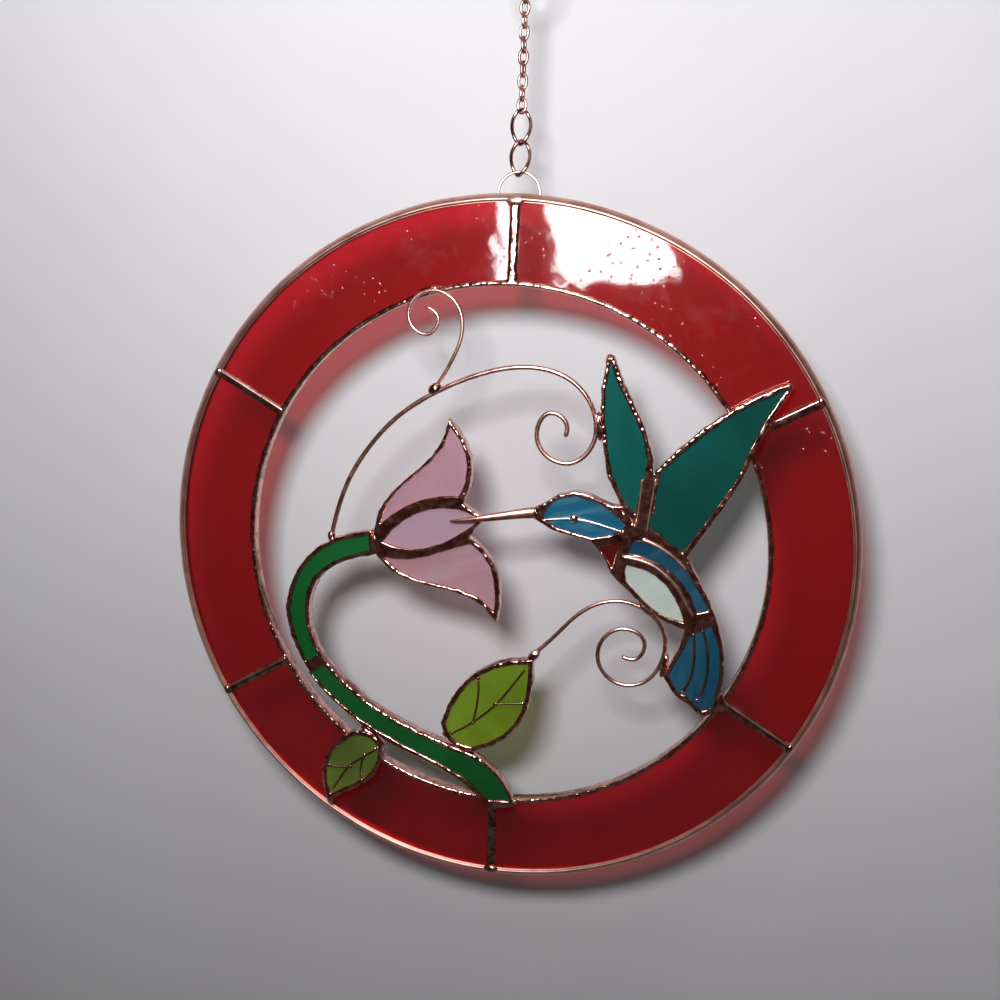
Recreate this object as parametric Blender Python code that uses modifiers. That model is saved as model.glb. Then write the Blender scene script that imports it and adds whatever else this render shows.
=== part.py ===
"""Stained glass suncatcher: a ring of six red panes in a copper came, with a hummingbird, a flower on its
stem, two leaves and three wire scrolls in front of it, hanging by a top loop, two long twisted links,
a fine link chain and a small ring.

Sizes are in millimetres here and are turned into metres as each object is made. +Z is up, the face of the
panel looks along -Y, and the origin is the inside top of the small hanging ring. The flat pieces are drawn in
the X-Y plane of the panel's own empty, with its +Z towards the viewer."""

import math

import bmesh
import bpy
from mathutils import Matrix, Vector

for old in list(bpy.data.objects):
    bpy.data.objects.remove(old, do_unlink=True)

MM = 0.001

# ---- the ring of red glass ----
RIM_R = 115.0  # outside of the came: a 230 mm (9 in) panel
CAME_FACE = 2.7  # what the came covers of the face
CAME_HALF = 2.7  # half its depth
CAME_WALL = 0.9
GLASS_HALF = 1.5  # 3 mm sheet
GAP = 0.3  # clearance between two pieces that touch in the real object
BEAD_IN_R = 86.3  # open side of the solder bead round the inside of the ring
BEAD_OUT_R = 88.0  # its edge on the glass
BEAD_HALF = 2.5
SEAM_AT = (89.2, 151.0, 210.7, 270.0, 329.3, 28.8)  # degrees, one solder seam between two panes
SEAM_FACE_HALF = 1.6
SEAM_WEB_HALF = 0.6

# ---- the pieces in front of the ring ----
SOLDER_HALF = 2.3
MOTIF_OUT = CAME_HALF + GAP + SOLDER_HALF  # mid-plane of the bird, flower, stem and leaves, in front of the ring's
LIP = 0.75  # how far the solder covers the edge of a pane
EDGE = 1.25  # width of the solder line round a single pane

# ---- the hanging parts ----
PANEL_X = -1.7  # the top loop is soldered a little to the right of the panel's middle
MOTIF_SHIFT = (0.4, 0.3)  # the bird and flower sit a hair right of and above the ring's middle
LOOP_Y = CAME_HALF + GAP + 0.45  # the loop's legs run down the back of the came, in the plane of the chain
LOOP_R, LOOP_WIRE = 6.75, 0.45
LINK_HALF_LONG, LINK_HALF_WIDE, LINK_WIRE = 5.85, 3.55, 0.5  # outside sizes of the two long links
FINE_LONG, FINE_WIDE, FINE_WIRE = 5.4, 3.9, 0.4  # outside sizes of a fine link
FINE_LINKS = 10
END_RING_IN, END_RING_WIRE = 5.0, 0.6

LOOP_TOP = RIM_R + LOOP_R  # height of the loop's centre line above the middle of the panel
LINK_REST = 0.3  # gap left where one link hangs in the next
FIRST_LINK = LOOP_TOP - LOOP_WIRE - LINK_REST - 2 * LINK_WIRE + LINK_HALF_LONG
LINK_PITCH = 2 * LINK_HALF_LONG - 4 * LINK_WIRE - LINK_REST
FINE_BOTTOM = FIRST_LINK + LINK_PITCH + LINK_HALF_LONG - 2 * LINK_WIRE - LINK_REST - 2 * FINE_WIRE
FINE_PITCH = FINE_LONG - 4 * FINE_WIRE - 0.2
FINE_TOP = FINE_BOTTOM + (FINE_LINKS - 1) * FINE_PITCH + FINE_LONG
END_RING_Z = FINE_TOP - 2 * FINE_WIRE - LINK_REST + END_RING_IN
HANG_Z = END_RING_Z + END_RING_IN  # inside top of the ring, measured from the middle of the panel


# ---------------------------------------------------------------- collections, empties and materials
suncatcher = bpy.data.collections.new("stained glass suncatcher")
cutters = bpy.data.collections.new("cutters")
for group in (suncatcher, cutters):
    bpy.context.scene.collection.children.link(group)


def empty(name, place, parent=None, tilt=0.0):
    made = bpy.data.objects.new(name, None)
    made.empty_display_size = 10 * MM
    made.location = Vector(place) * MM
    made.rotation_euler.x = math.radians(tilt)
    made.parent = parent
    suncatcher.objects.link(made)
    return made


hook = empty("hook", (0, 0, 0))
panel = empty("panel", (PANEL_X, -LOOP_Y, -HANG_Z), hook, 90)
motif = empty("motif", (*MOTIF_SHIFT, MOTIF_OUT), panel)


def material(name, colour, metal, rough, clear=0.0):
    mat = bpy.data.materials.new(name)
    mat.use_nodes = True
    shader = mat.node_tree.nodes["Principled BSDF"]
    shader.inputs["Base Color"].default_value = (*colour, 1)
    shader.inputs["Metallic"].default_value = metal
    shader.inputs["Roughness"].default_value = rough
    shader.inputs["Transmission Weight"].default_value = clear
    return mat


# ---------------------------------------------------------------- making objects
def add(name, data, mat, parent, place=(0, 0, 0), turn=(0, 0, 0)):
    made = bpy.data.objects.new(name, data)
    made.location = Vector(place) * MM
    made.rotation_euler = [math.radians(a) for a in turn]
    made.parent = parent
    suncatcher.objects.link(made)
    if not data.materials:
        data.materials.append(mat)
    return made


def spline(data, points, closed, radii=None):
    line = data.splines.new("POLY")
    line.points.add(len(points) - 1)
    for i, (mark, p) in enumerate(zip(line.points, points)):
        mark.co = (*(Vector(p).to_3d() * MM), 1)
        mark.radius = radii[i] if radii else 1.0
    line.use_cyclic_u = closed


def flat(name, outlines, half, mat, parent=None, place=(0, 0, 0), turn=(0, 0, 0)):
    """A sheet with straight walls: the first outline is its edge and the others are windows in it."""
    data = bpy.data.curves.new(name, "CURVE")
    data.dimensions = "2D"
    data.fill_mode = "BOTH"
    data.extrude = half * MM
    for points in outlines:
        spline(data, points, True)
    return add(name, data, mat, parent or motif, place, turn)


def wire(name, path, radius, mat, parent=None, closed=False, fine=1, radii=None, place=(0, 0, 0)):
    """A round bar along a path, with 4 + 2 * fine sides."""
    data = bpy.data.curves.new(name, "CURVE")
    data.dimensions = "3D"
    data.bevel_depth = radius * MM
    data.bevel_resolution = fine
    data.use_fill_caps = True
    spline(data, path, closed, radii)
    return add(name, data, mat, parent or motif, place)


def as_mesh(thing):
    """The evaluated object as a mesh object in the same place, with its caps welded and its flat faces whole."""
    bpy.context.view_layer.update()
    graph = bpy.context.evaluated_depsgraph_get()
    mesh = bpy.data.meshes.new_from_object(thing.evaluated_get(graph))
    work = bmesh.new()
    work.from_mesh(mesh)
    bmesh.ops.remove_doubles(work, verts=work.verts, dist=1e-6)
    bmesh.ops.recalc_face_normals(work, faces=work.faces)
    bmesh.ops.dissolve_limit(work, angle_limit=math.radians(0.1), verts=work.verts, edges=work.edges)
    work.to_mesh(mesh)
    work.free()
    name, place, parent = thing.name, thing.matrix_local.copy(), thing.parent
    bpy.data.objects.remove(thing, do_unlink=True)
    made = bpy.data.objects.new(name, mesh)
    made.parent = parent
    made.matrix_local = place
    suncatcher.objects.link(made)
    return made


def boolean(target, tool, operation):
    """target is cut by tool, or joined with it, and tool is kept as a hidden guide."""
    suncatcher.objects.unlink(tool)
    cutters.objects.link(tool)
    tool.hide_render = True
    tool.display_type = "WIRE"
    step = target.modifiers.new(tool.name, "BOOLEAN")
    step.operation = operation
    step.solver = "EXACT"
    step.object = tool


def fused(name, bars):
    """One body of bars that meet in solder."""
    first, *others = [as_mesh(bar) for bar in bars]
    first.name = name
    for other in others:
        boolean(first, other, "UNION")
    return first


# ---------------------------------------------------------------- flat outlines
def side(p, q, off1, off2, chord_error=0.13):
    """Points of a curved side from p up to, not including, q. off1 and off2 are how far it stands off
    the straight line at one third and two thirds, outward for a counter-clockwise outline."""
    run = Vector(q) - Vector(p)
    length = run.length
    along = run / length
    out = Vector((along.y, -along.x))
    b1, b2 = 3 * off1 - 1.5 * off2, 3 * off2 - 1.5 * off1
    sag = max(abs(off1), abs(off2), abs(off1 - off2) * 1.5)
    count = 1 if sag < 0.05 else max(2, math.ceil(math.sqrt(sag / chord_error) * 0.86 + 0.4))
    points = []
    for i in range(count):
        t = i / count
        rise = 3 * (1 - t) ** 2 * t * b1 + 3 * (1 - t) * t * t * b2
        points.append(Vector(p) + along * length * t + out * rise)
    return points


def outline(rows):
    """A closed outline from its corners, each with the two stand-offs of the side that leaves it."""
    points = []
    for (x, z, off1, off2), (x2, z2, *_) in zip(rows, rows[1:] + rows[:1]):
        points += side((x, z), (x2, z2), off1, off2)
    return points


def grown(points, by, most=2.0):
    """The outline moved outward by `by`, its sharp corners by no more than `most` times that."""
    result = []
    for i, p in enumerate(points):
        before, after = (p - points[i - 1]).normalized(), (points[(i + 1) % len(points)] - p).normalized()
        n1, n2 = Vector((before.y, -before.x)), Vector((after.y, -after.x))
        middle = (n1 + n2).normalized()
        result.append(p + middle * by * min(most, 1 / max(0.05, middle.dot(n1))))
    return result


# ---------------------------------------------------------------- wires
def smooth(marks, per_turn=24.0, longest=9.0):
    """A smooth path through a few marks, with more points where it bends more."""
    marks = [Vector(m) for m in marks]
    dense = []
    for i in range(len(marks) - 1):
        p0 = marks[i - 1] if i else marks[0] * 2 - marks[1]
        p1, p2 = marks[i], marks[i + 1]
        p3 = marks[i + 2] if i + 2 < len(marks) else p2 * 2 - p1
        for k in range(12):
            t = k / 12
            dense.append(
                0.5 * ((2 * p1) + (p2 - p0) * t + (2 * p0 - 5 * p1 + 4 * p2 - p3) * t * t + (3 * p1 - p0 - 3 * p2 + p3) * t**3)
            )
    dense.append(marks[-1])
    kept, turned, gone = [dense[0]], 0.0, 0.0
    for a, b, c in zip(dense, dense[1:], dense[2:]):
        turned += (b - a).angle(c - b, 0.0)
        gone += (b - a).length
        if turned > 2 * math.pi / per_turn or gone > longest:
            kept.append(b)
            turned, gone = 0.0, 0.0
    kept.append(dense[-1])
    return kept


# ---------------------------------------------------------------- materials
copper = material("copper came", (0.72, 0.40, 0.30), 1.0, 0.28)
solder = material("copper patina solder", (0.50, 0.27, 0.21), 1.0, 0.35)
bright = material("bright wire", (0.80, 0.66, 0.60), 1.0, 0.22)
red = material("red glass", (0.62, 0.01, 0.03), 0.0, 0.06, 0.8)
pink = material("pink glass", (0.80, 0.45, 0.58), 0.0, 0.12, 0.3)
green = material("green glass", (0.01, 0.28, 0.08), 0.0, 0.10, 0.3)
lime = material("lime glass", (0.36, 0.52, 0.03), 0.0, 0.10, 0.3)
teal = material("teal glass", (0.00, 0.24, 0.20), 0.0, 0.10, 0.3)
blue = material("blue glass", (0.02, 0.30, 0.52), 0.0, 0.10, 0.3)
white = material("white glass", (0.80, 0.90, 0.87), 0.0, 0.12, 0.3)


# ---------------------------------------------------------------- the ring
def turned(name, profile, mat, parent=panel, steps=56):
    """A closed profile of (radius, depth), top to bottom down its outer side, turned round the parent's Z."""
    mesh = bpy.data.meshes.new(name)
    marks = [(r * MM, 0, z * MM) for r, z in profile]
    mesh.from_pydata(marks, [(i, (i + 1) % len(marks)) for i in range(len(marks))], [])
    made = add(name, mesh, mat, parent)
    screw = made.modifiers.new("turn", "SCREW")
    screw.steps = screw.render_steps = steps
    screw.use_merge_vertices = True
    screw.merge_threshold = 1e-5
    made = as_mesh(made)
    made.data.shade_smooth()
    made.data.set_sharp_from_angle(angle=math.radians(40))
    return made


flange = RIM_R - CAME_FACE
channel = CAME_HALF - CAME_WALL
turned(
    "rim_came",
    [
        (RIM_R - 0.6, CAME_HALF), (RIM_R, CAME_HALF - 0.6), (RIM_R, 0.6 - CAME_HALF), (RIM_R - 0.6, -CAME_HALF),
        (flange, -CAME_HALF), (flange, -channel), (RIM_R - 1.0, -channel), (RIM_R - 1.0, channel),
        (flange, channel), (flange, CAME_HALF),
    ],
    copper,
)

PANE_OUT_R = RIM_R - 1.0 - GAP
PANE_IN_R = BEAD_IN_R + 0.6 + GAP
SEAM_CUT = SEAM_WEB_HALF + GAP  # a pane stops this far from the middle of a seam


def ring_pane(number, start, end):
    """A pane between two seams: two arcs and two straight edges that run beside the seams."""
    points = []
    for r, a0, a1, steps in ((PANE_OUT_R, start, end, 10), (PANE_IN_R, end, start, 9)):
        trim = math.degrees(math.asin(SEAM_CUT / r)) * (1 if a1 > a0 else -1)
        for i in range(steps + 1):
            a = math.radians(a0 + trim + (a1 - a0 - 2 * trim) * i / steps)
            points.append(Vector((r * math.cos(a), r * math.sin(a))))
    return flat(f"ring_glass_{number}", [points], GLASS_HALF, red, panel)


ordered = sorted(SEAM_AT)
for number, (start, end) in enumerate(zip(ordered, ordered[1:] + [ordered[0] + 360]), 1):
    ring_pane(number, start, end)


def seam_bar(number, angle):
    """A solder seam across the ring, an I in section, from inside the bead out to the came."""
    w, f, g, h = SEAM_WEB_HALF, SEAM_FACE_HALF, GLASS_HALF + GAP + 0.05, BEAD_HALF - 0.1
    quarter = [(f, h), (f, g + 0.15), (w, g)]  # the flange thins towards its edge
    half = quarter + [(x, -z) for x, z in reversed(quarter)]
    section = half + [(-x, -z) for x, z in half]
    near, far = BEAD_IN_R + 0.3, flange - GAP
    a = math.radians(angle)
    middle = Vector((math.cos(a), math.sin(a), 0)) * (near + far) / 2
    bar = flat(f"seam_{number}", [section], (far - near) / 2, solder, panel, middle)
    bar.rotation_euler = (math.pi / 2, 0, a + math.pi / 2)
    return bar


lip = GLASS_HALF + GAP
bead = turned(
    "bead",
    [
        (BEAD_OUT_R, BEAD_HALF), (BEAD_OUT_R, lip), (BEAD_IN_R + 0.6, lip), (BEAD_IN_R + 0.6, -lip),
        (BEAD_OUT_R, -lip), (BEAD_OUT_R, -BEAD_HALF), (BEAD_IN_R, -BEAD_HALF), (BEAD_IN_R, BEAD_HALF),
    ],
    solder,
)
fused("ring_solder", [bead] + [seam_bar(i, a) for i, a in enumerate(SEAM_AT, 1)])

# ---------------------------------------------------------------- the flower
def pane(name, window, mat):
    return flat(name, [grown(window, LIP)], GLASS_HALF, mat)


def lattice(name, outer, windows):
    """Solder lines as one body: an outline with a window for each pane, and inside each window a groove
    that holds the pane's edge behind a lip on both faces."""
    made = as_mesh(flat(name, [outer, *windows], SOLDER_HALF, solder))
    for number, window in enumerate(windows, 1):
        groove = flat(f"{name}_groove_{number}", [grown(window, LIP + 0.25)], GLASS_HALF + 0.25, solder)
        boolean(made, as_mesh(groove), "DIFFERENCE")
    return made


flower_panes = {
    "petal_upper": outline([(-13.4, 18.2, 3.7, 3.6), (-16.9, 41.0, -1.4, 1.8), (-40.2, 7.2, -2.6, -2.8)]),
    "petal_middle": outline(
        [(-39.2, 1.3, 3.9, 3.4), (-10.8, 7.2, 0.2, 0.2), (-6.4, 11.2, 0.2, 0.2), (-13.4, 14.0, 3.8, 3.7)]
    ),
    "petal_lower": outline([(-38.8, -4.0, 1.8, -1.6), (-0.7, -19.5, 3.0, 3.5), (-9.2, 3.0, -1.3, -2.2)]),
}
flower_edge = outline(
    [
        (0.3, -23.4, 4.3, 4.9), (-9.6, 5.0, -0.2, -0.2), (-4.6, 11.7, -0.1, -0.1), (-12.2, 16.0, 4.7, 4.4),
        (-17.4, 43.6, -1.9, 1.9), (-42.4, 5.0, 0.0, 0.0), (-41.2, -3.6, 1.6, -2.7),
    ]
)
for name, window in flower_panes.items():
    pane(name, window, pink)
lattice("flower_solder", flower_edge, list(flower_panes.values()))

# ---------------------------------------------------------------- the stem
stem_panes = {
    "stem_glass_upper": outline(
        [
            (-44.2, 3.2, 6.6, 6.9), (-71.9, -25.0, 0.9, 0.8), (-66.0, -42.7, 0.0, 0.0), (-61.7, -40.2, -1.2, -1.2),
            (-66.5, -24.0, -6.0, -4.7), (-43.7, -2.0, 0.0, 0.0),
        ]
    ),
    "stem_glass_lower": outline(
        [
            (-64.2, -47.0, 1.1, 1.2), (-40.0, -65.2, -0.9, -2.0), (-0.5, -85.4, 0.0, 0.0), (6.6, -85.2, 1.6, 1.3),
            (-5.0, -71.8, -3.4, -4.1), (-59.8, -43.8, 0.0, 0.0),
        ]
    ),
}
stem_edge = outline(
    [
        (-42.9, 4.9, 6.9, 7.4), (-73.4, -24.0, 1.3, 1.1), (-66.8, -43.5, 2.4, 1.8), (-41.0, -66.5, -1.0, -2.5),
        (-2.6, -86.9, 0.0, 0.0), (8.0, -86.7, 2.3, 2.0), (-6.0, -70.0, -3.8, -4.8), (-59.6, -41.2, -1.3, -1.4),
        (-65.1, -24.0, -5.9, -4.9), (-41.8, -3.4, 0.0, 0.0),
    ]
)
for name, window in stem_panes.items():
    pane(name, window, green)
lattice("stem_solder", stem_edge, list(stem_panes.values()))

# ---------------------------------------------------------------- the leaves
leaves = {
    "leaf_large": outline([(11.3, -36.3, 5.8, 5.7), (-16.3, -60.0, 2.3, 2.2), (-7.0, -67.3, 6.8, 6.1)]),
    "leaf_small": outline([(-40.0, -70.8, 1.4, 1.4), (-48.5, -67.8, 4.6, 4.6), (-57.2, -90.4, 3.0, 4.6)]),
}
for name, window in leaves.items():
    pane(f"{name}_glass", window, lime)
    lattice(f"{name}_solder", grown(window, EDGE), [window])

VEIN = 0.3
VEIN_OUT = GLASS_HALF + 0.2 + VEIN  # the veins lie on the front of the glass
veins = {
    "leaf_large_veins": [
        [(10.1, -38.6), (6.0, -44.5), (1.5, -50.6), (-4.0, -56.0), (-9.0, -60.0), (-14.2, -63.2)],
        [(-5.4, -43.6), (-5.2, -47.0), (-5.7, -52.5), (-6.9, -58.6)],
        [(9.7, -50.1), (6.0, -50.5), (0.7, -51.3)],
    ],
    "leaf_small_veins": [
        [(-40.7, -72.1), (-45.0, -75.0), (-50.0, -79.0), (-54.3, -85.0), (-56.2, -88.2)],
        [(-57.4, -79.8), (-54.0, -79.9), (-49.8, -79.4)],
        [(-44.9, -74.6), (-46.2, -80.0), (-45.8, -83.4)],
    ],
}
for name, lines in veins.items():
    bars = []
    for i, marks in enumerate(lines):
        # each side vein stands a hair forward of the midrib, so the two cross cleanly where they are soldered
        path = smooth([(x, z, VEIN_OUT + 0.04 * i) for x, z in marks], 16)
        bars.append(wire(f"{name}_{i}", path, VEIN + 0.01 * i, solder, fine=0))
    fused(name, bars)

# ---------------------------------------------------------------- the bird
bird_panes = {
    "bird_head": (outline([(14.3, 13.0, 1.1, 0.7), (31.0, 7.9, 0.7, 1.3), (41.0, 12.5, 1.7, 1.6), (24.0, 21.1, 1.8, 1.8)]), blue),
    "bird_throat": (outline([(33.2, 4.9, 0.0, 0.0), (37.4, -1.3, 0.0, 0.0), (39.6, 7.0, 0.0, 0.0)]), red),
    "bird_back": (outline([(42.3, 4.0, -3.9, -4.0), (65.0, -14.0, 0.0, 0.0), (68.6, -12.8, 3.6, 4.6), (44.0, 8.2, 0.0, 0.0)]), blue),
    "bird_belly": (outline([(42.0, -0.2, 0.4, 0.4), (42.0, -5.5, 1.8, 2.4), (61.0, -17.3, 3.7, 4.1)]), white),
    "bird_tail": (
        outline(
            [
                (63.8, -21.0, 0.0, 0.0), (57.2, -36.0, 0.0, 0.0), (59.6, -39.7, 0.5, 0.5), (63.0, -41.6, 0.0, 0.0),
                (65.0, -43.2, 0.5, 0.3), (68.4, -46.2, 1.3, 1.3), (72.2, -41.0, 1.9, 2.2), (69.8, -18.2, 0.0, 0.0),
            ]
        ),
        blue,
    ),
    "wing_left": (outline([(43.8, 16.8, 0.2, 0.0), (47.0, 33.5, 1.3, 0.2), (33.9, 64.0, 2.0, 1.7), (36.0, 28.5, 0.5, 0.9)]), teal),
    "wing_right": (
        outline(
            [
                (48.2, 13.2, -0.1, 0.2), (59.4, 5.2, 0.2, 0.2), (74.6, 30.0, -0.8, -1.0), (87.4, 57.6, 2.5, 2.1),
                (51.5, 30.5, 0.1, -0.5),
            ]
        ),
        teal,
    ),
}
bird_edge = outline(
    [
        (11.7, 12.6, 1.1, 0.5), (30.0, 6.5, -0.6, -0.6), (36.8, -3.2, 1.3, 2.1), (61.2, -20.0, -0.8, -0.6),
        (55.5, -35.9, 0.0, 0.0), (58.6, -41.0, 0.4, 0.4), (64.0, -44.6, 0.0, 0.0), (68.2, -48.2, 1.8, 1.8),
        (73.6, -42.0, 4.8, 3.9), (61.0, 3.6, 0.0, 0.3), (76.1, 29.4, -0.6, -0.9), (89.6, 58.6, 0.0, 0.0),
        (88.4, 60.0, 2.8, 2.7), (49.0, 30.0, 0.0, 0.0), (48.7, 34.0, 1.1, 0.1), (34.8, 65.8, 0.0, 0.0),
        (32.9, 65.4, 2.2, 1.8), (34.6, 28.0, 0.1, 0.1), (39.4, 18.9, 0.0, 0.0), (36.6, 18.7, 0.4, 0.9),
        (24.0, 22.5, 0.9, 0.2), (11.7, 16.4, 0.0, 0.0),
    ]
)
for name, (window, glass) in bird_panes.items():
    pane(name, window, glass)
lattice("bird_solder", bird_edge, [window for window, _ in bird_panes.values()])

# the beak: a copper bar that leaves the head, comes forward over the tip of the middle petal and tapers to a
# point. It is drawn round and then flattened from front to back
BEAK_FLAT = 0.55
beak_marks = [(11.0, 14.5, 1.0), (3.5, 13.4, 2.2), (-4.6, 12.0, 3.5), (-15.8, 10.2, 3.3)]
beak = wire(
    "beak", [(x, z, out / BEAK_FLAT) for x, z, out in beak_marks], 1.9, copper, fine=2, radii=[1.0, 0.8, 0.55, 0.16]
)
beak.scale.z = BEAK_FLAT

# a thin bright wire runs across the head and ends in the beak, with a drop of solder on it for the eye
head_marks = [(15.6, 12.7), (20.0, 13.3), (24.6, 13.6), (30.0, 13.0), (35.0, 11.8), (39.3, 10.8)]
head_line = wire("head_line", smooth([(x, z, GLASS_HALF + 0.5) for x, z in head_marks], 16), 0.35, bright)
bpy.ops.mesh.primitive_uv_sphere_add(segments=10, ring_count=6, radius=1.35 * MM)
eye = bpy.context.object
eye.name = "eye_drop"
eye.data.transform(Matrix.Diagonal((1, 1, 0.7, 1)))
eye.data.materials.append(bright)
eye.location = Vector((24.6, 14.0, GLASS_HALF + 1.2)) * MM
eye.parent = motif
for group in list(eye.users_collection):
    group.objects.unlink(eye)
suncatcher.objects.link(eye)
fused("head_wire_and_eye", [head_line, eye])

feather_parts = [
    [(64.7, -23.0), (65.1, -28.0), (64.8, -33.0), (63.6, -37.5), (62.3, -40.2)],
    [(67.4, -21.0), (69.0, -26.5), (69.4, -32.0), (68.6, -38.0), (66.9, -42.0)],
]
for number, marks in enumerate(feather_parts, 1):
    wire(f"tail_feather_wire_{number}", smooth([(x, z, VEIN_OUT) for x, z in marks], 16), VEIN, solder, fine=0)

# ---------------------------------------------------------------- the wire scrolls
scrolls = {
    "scroll_main": (
        0.8,
        [
            (-57.4, 2.4), (-55.6, 10.0), (-51.4, 21.5), (-45.0, 32.0), (-35.6, 42.5), (-23.6, 50.9), (-8.0, 58.0), (8.0, 61.0),
            (21.0, 57.8), (28.9, 48.6), (29.3, 37.8), (22.4, 31.2), (14.4, 33.3), (11.2, 40.6), (15.2, 46.9), (20.0, 44.8), (20.6, 40.2),
        ],
    ),
    "scroll_upper": (
        0.6,
        [
            (-22.2, 53.6), (-17.0, 62.5), (-14.0, 72.0), (-16.2, 80.2), (-24.0, 84.0), (-31.2, 79.4), (-30.4, 72.2), (-25.0, 70.2),
            (-21.9, 74.6), (-25.6, 78.6),
        ],
    ),
    "scroll_lower": (
        0.7,
        [
            (14.2, -31.8), (20.0, -25.8), (28.8, -16.8), (39.0, -12.8), (48.6, -15.0), (54.6, -21.5), (54.8, -31.0), (49.0, -39.3),
            (40.5, -40.3), (34.3, -34.0), (35.2, -26.2), (42.4, -21.8), (48.8, -25.6), (47.2, -31.0), (42.4, -31.4),
        ],
    ),
}
for name, (radius, marks) in scrolls.items():
    wire(name, smooth([(x, z, 0) for x, z in marks], 14.5, 18), radius, copper)


# ---------------------------------------------------------------- the hanging parts
def arc(radius, start, end, steps, height):
    """Points of an arc in the plane of the chain."""
    turns = [math.radians(start + (end - start) * i / steps) for i in range(steps + 1)]
    return [Vector((radius * math.cos(a), 0, radius * math.sin(a) + height)) for a in turns]


# the top loop: half a circle over the rim, with two legs down the back of the came
foot = Vector((LOOP_R, 0, -4.2))
loop = [foot, *arc(LOOP_R, 0, 180, 12, 0), Vector((-foot.x, 0, foot.z))]
wire("top_loop", loop, LOOP_WIRE, bright, hook, place=(0, 0, RIM_R - HANG_Z))


def oval(half_long, half_wide, twist, steps):
    """Centre line of a link that stands up, its width wrung by `twist` from bottom to top."""
    path = []
    for i in range(steps):
        a = 2 * math.pi * i / steps
        x, z = half_wide * math.cos(a), half_long * math.sin(a)
        turn = math.radians(twist * z / (2 * half_long))
        path.append(Vector((x * math.cos(turn), x * math.sin(turn), z)))
    return path


twisted = oval(LINK_HALF_LONG - LINK_WIRE, LINK_HALF_WIDE - LINK_WIRE, 90, 18)
for number in (1, 2):
    height = FIRST_LINK + (number - 1) * LINK_PITCH - HANG_Z
    wire(f"long_link_{number}", twisted, LINK_WIRE, copper, hook, True, place=(0, 0, height))

# the fine links share one shape and stand crosswise to each other
link_shape = None
for number in range(FINE_LINKS):
    place = (0, 0, FINE_BOTTOM + number * FINE_PITCH + FINE_LONG / 2 - HANG_Z)
    turn = (0, 0, 60 if number % 2 else -30)
    name = f"fine_link_{number + 1:02d}"
    if link_shape is None:
        path = oval(FINE_LONG / 2 - FINE_WIRE, FINE_WIDE / 2 - FINE_WIRE, 0, 9)
        first = wire(name, path, FINE_WIRE, copper, hook, True, fine=0, place=place)
        first.rotation_euler.z = math.radians(turn[2])
        link_shape = first.data
    else:
        add(name, link_shape, copper, hook, place, turn)

bpy.ops.mesh.primitive_torus_add(
    major_segments=16, minor_segments=6, major_radius=(END_RING_IN + END_RING_WIRE) * MM, minor_radius=END_RING_WIRE * MM
)
end_ring = bpy.context.object
end_ring.name = "hanging_ring"
end_ring.data.materials.append(copper)
end_ring.rotation_euler.x = math.pi / 2
end_ring.location.z = (END_RING_Z - HANG_Z) * MM
end_ring.parent = hook
for group in list(end_ring.users_collection):
    group.objects.unlink(end_ring)
suncatcher.objects.link(end_ring)
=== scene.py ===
"""Looks of the stained glass suncatcher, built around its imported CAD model.

Sizes here are in millimetres, measured on the panel: x to the right, z up, and `out` towards the viewer
from the middle of the red ring's glass. +Z is up and the face of the panel looks along -Y."""

import math
from collections import namedtuple

import bmesh
import bpy
import numpy as np
from mathutils import Matrix, Vector


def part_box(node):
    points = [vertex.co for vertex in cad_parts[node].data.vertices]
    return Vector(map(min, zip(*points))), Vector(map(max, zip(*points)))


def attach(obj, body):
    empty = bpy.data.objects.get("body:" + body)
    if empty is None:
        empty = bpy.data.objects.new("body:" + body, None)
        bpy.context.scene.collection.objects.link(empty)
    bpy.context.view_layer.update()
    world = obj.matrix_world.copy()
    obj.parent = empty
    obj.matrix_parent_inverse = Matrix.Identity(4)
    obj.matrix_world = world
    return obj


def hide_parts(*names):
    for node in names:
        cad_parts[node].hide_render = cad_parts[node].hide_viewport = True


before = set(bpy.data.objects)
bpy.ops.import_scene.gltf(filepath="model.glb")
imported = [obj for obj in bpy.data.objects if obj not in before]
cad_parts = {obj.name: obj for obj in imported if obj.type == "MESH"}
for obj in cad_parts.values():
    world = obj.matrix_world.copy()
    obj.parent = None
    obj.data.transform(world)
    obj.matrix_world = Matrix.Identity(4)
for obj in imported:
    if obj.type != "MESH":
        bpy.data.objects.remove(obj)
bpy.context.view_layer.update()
MM = 0.001

# ------------------------------------------------------------------ places, from the frame
rim_lo, rim_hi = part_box("rim_came")
RING_X, RING_Y, RING_Z = ((a + b) / 2 / MM for a, b in zip(rim_lo, rim_hi))
RIM_R = (rim_hi[2] - rim_lo[2]) / 2 / MM
RIM_HALF = (rim_hi[1] - rim_lo[1]) / 2 / MM
MOTIF_X, MOTIF_Z = RING_X + 0.4, RING_Z + 0.3  # the bird and the flower sit a hair off the ring's middle
bird_lo, bird_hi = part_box("bird_solder")
MOTIF_OUT = RING_Y - (bird_lo[1] + bird_hi[1]) / 2 / MM
SOLDER_HALF = (bird_hi[1] - bird_lo[1]) / 2 / MM
GLASS_HALF = 1.5
BEAD_IN_R, BEAD_OUT_R, BEAD_HALF = 86.3, 88.0, 2.5  # the solder round the ring's inner edge
CAME_FACE = 2.7  # how far the came reaches over the glass
SEAM_AT = (89.2, 151.0, 210.7, 270.0, 329.3, 28.8)  # degrees from +X
SEAM_FACE_HALF = 1.6


def at(x, z, out=0.0, home="motif"):
    """A point of the panel in metres, in the frame's own axes."""
    bx, bz, lift = (MOTIF_X, MOTIF_Z, MOTIF_OUT) if home == "motif" else (RING_X, RING_Z, 0.0)
    return Vector((bx + x, RING_Y - lift - out, bz + z)) * MM


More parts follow.
